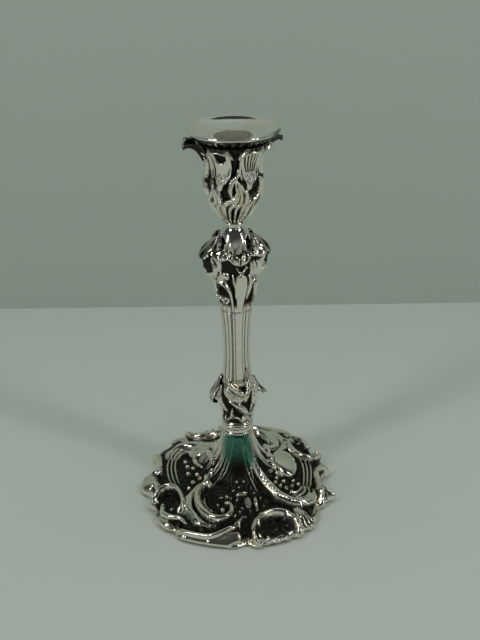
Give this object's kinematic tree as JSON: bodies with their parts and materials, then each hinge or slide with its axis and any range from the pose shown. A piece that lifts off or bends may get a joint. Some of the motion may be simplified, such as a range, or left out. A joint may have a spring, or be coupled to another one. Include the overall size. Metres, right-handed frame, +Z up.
{
  "type": "candlestick",
  "caption": "Silver rococo candlestick: weighted scroll-bordered foot, leafy knops, reeded stem, petalled cup and a lift-out nozzle for one candle.",
  "frame": {"origin": "centre of the candlestick's underside, on its axis, where it stands on the table", "axes": "+Z up along the axis through the candle socket; -Y towards the front"},
  "size_m": [0.133, 0.133, 0.245],
  "materials": {
    "cast_silver": "polished cast silver with blackened recesses",
    "polished_silver": "bright polished silver",
    "tinned_steel": "dull tinned sheet",
    "plain_steel": "turned bright steel, oiled",
    "plaster": "cast plaster filling",
    "baize": "woollen baize"
  },
  "bodies": {
    "stick": {"felt_pad": "baize", "base_plate": "tinned_steel", "base_weight": "plaster", "foot_dome": "cast_silver", "foot_border": "cast_silver", "foot_collar": "cast_silver", "lower_knop": "cast_silver", "stem_column": "cast_silver", "upper_knop": "cast_silver", "neck_bulb": "polished_silver", "neck_ring": "polished_silver", "capital_cup": "cast_silver", "socket_liner": "tinned_steel", "tie_rod": "plain_steel", "top_washer": "plain_steel", "top_nut": "plain_steel", "bottom_washer": "plain_steel", "bottom_nut": "plain_steel"},
    "nozzle": {"nozzle_pan": "polished_silver", "nozzle_sleeve": "polished_silver"}
  },
  "joints": [
    {"name": "nozzle_lift", "type": "slide", "parent": "stick", "child": "nozzle", "axis": [0, 0, 1], "range_m": [0, 0.03]}
  ]
}
